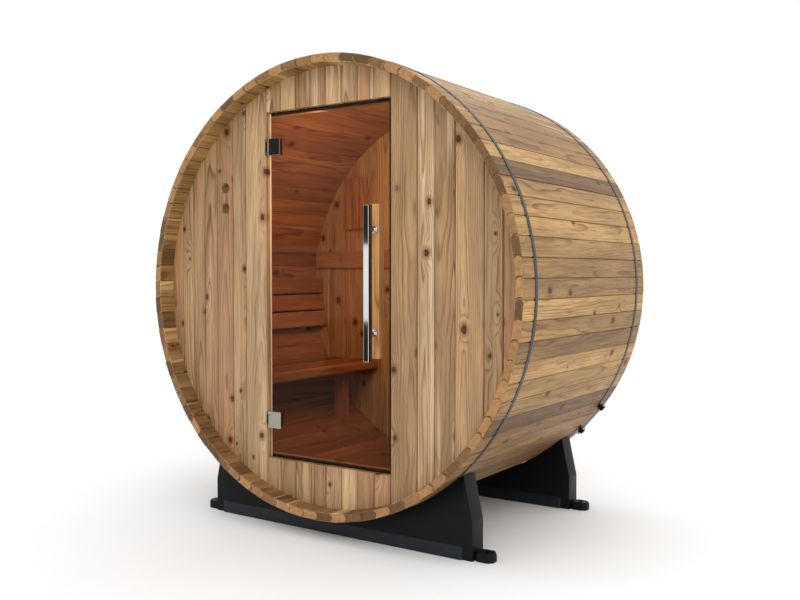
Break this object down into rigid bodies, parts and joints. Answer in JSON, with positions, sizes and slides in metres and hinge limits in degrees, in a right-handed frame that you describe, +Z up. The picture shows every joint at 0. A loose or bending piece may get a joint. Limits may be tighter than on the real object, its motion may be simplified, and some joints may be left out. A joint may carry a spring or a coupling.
{
  "type": "barrel sauna",
  "caption": "Barrel sauna of wooden staves held by steel bands on two moulded cradles, with a hinged glass door and two facing benches.",
  "frame": {"origin": "on the ground, in the middle of the footprint", "axes": "+Z up, the door faces -Y, +X to the right of someone who faces the door from outside"},
  "size_m": [1.8326, 1.2, 1.911],
  "materials": {
    "stave_cedar": "smooth knotty cedar, lightly oiled",
    "wall_cedar": "planed knotty cedar boards with v-joints",
    "trim_cedar": "planed cedar",
    "bench_cedar": "sanded cedar",
    "grip_wood": "pale sanded wood",
    "bronze_glass": "tempered, bronze tinted",
    "gasket_black": "matt",
    "hinge_steel": "satin",
    "handle_chrome": "polished",
    "band_steel": "dark grey, satin",
    "tensioner_black": "black, satin",
    "cradle_plastic": "moulded, satin black"
  },
  "bodies": {
    "barrel": {"shell_01": "stave_cedar", "shell_02": "stave_cedar", "shell_03": "stave_cedar", "shell_04": "stave_cedar", "shell_05": "stave_cedar", "shell_06": "stave_cedar", "shell_07": "stave_cedar", "shell_08": "stave_cedar", "shell_09": "stave_cedar", "shell_10": "stave_cedar", "shell_11": "stave_cedar", "shell_12": "stave_cedar", "shell_13": "stave_cedar", "front_wall_left": "wall_cedar", "front_wall_right": "wall_cedar", "front_wall_over_door": "wall_cedar", "front_wall_under_door": "wall_cedar", "back_wall": "wall_cedar", "back_wall_rail": "trim_cedar", "back_vent_cover": "trim_cedar", "door_stops": "trim_cedar", "door_gasket": "gasket_black", "hinge_leaf_upper": "hinge_steel", "hinge_leaf_lower": "hinge_steel", "band_front": "band_steel", "band_rear": "band_steel", "tensioner_front": "tensioner_black", "tensioner_rear": "tensioner_black", "cradle_front": "cradle_plastic", "cradle_rear": "cradle_plastic", "bench_left_seat": "bench_cedar", "bench_left_frames": "bench_cedar", "bench_left_backrest": "bench_cedar", "bench_right_seat": "bench_cedar", "bench_right_frames": "bench_cedar", "bench_right_backrest": "bench_cedar"},
    "door": {"door_glass": "bronze_glass", "hinge_clamp_upper": "hinge_steel", "hinge_clamp_lower": "hinge_steel", "handle_bar": "handle_chrome", "handle_grip": "grip_wood", "handle_bolts": "handle_chrome"}
  },
  "joints": [
    {"name": "door_hinge", "type": "hinge", "parent": "barrel", "child": "door", "pos_m": [-0.308, -0.515, 0.9948], "axis": [0, 0, -1], "range_deg": [0, 95]}
  ]
}
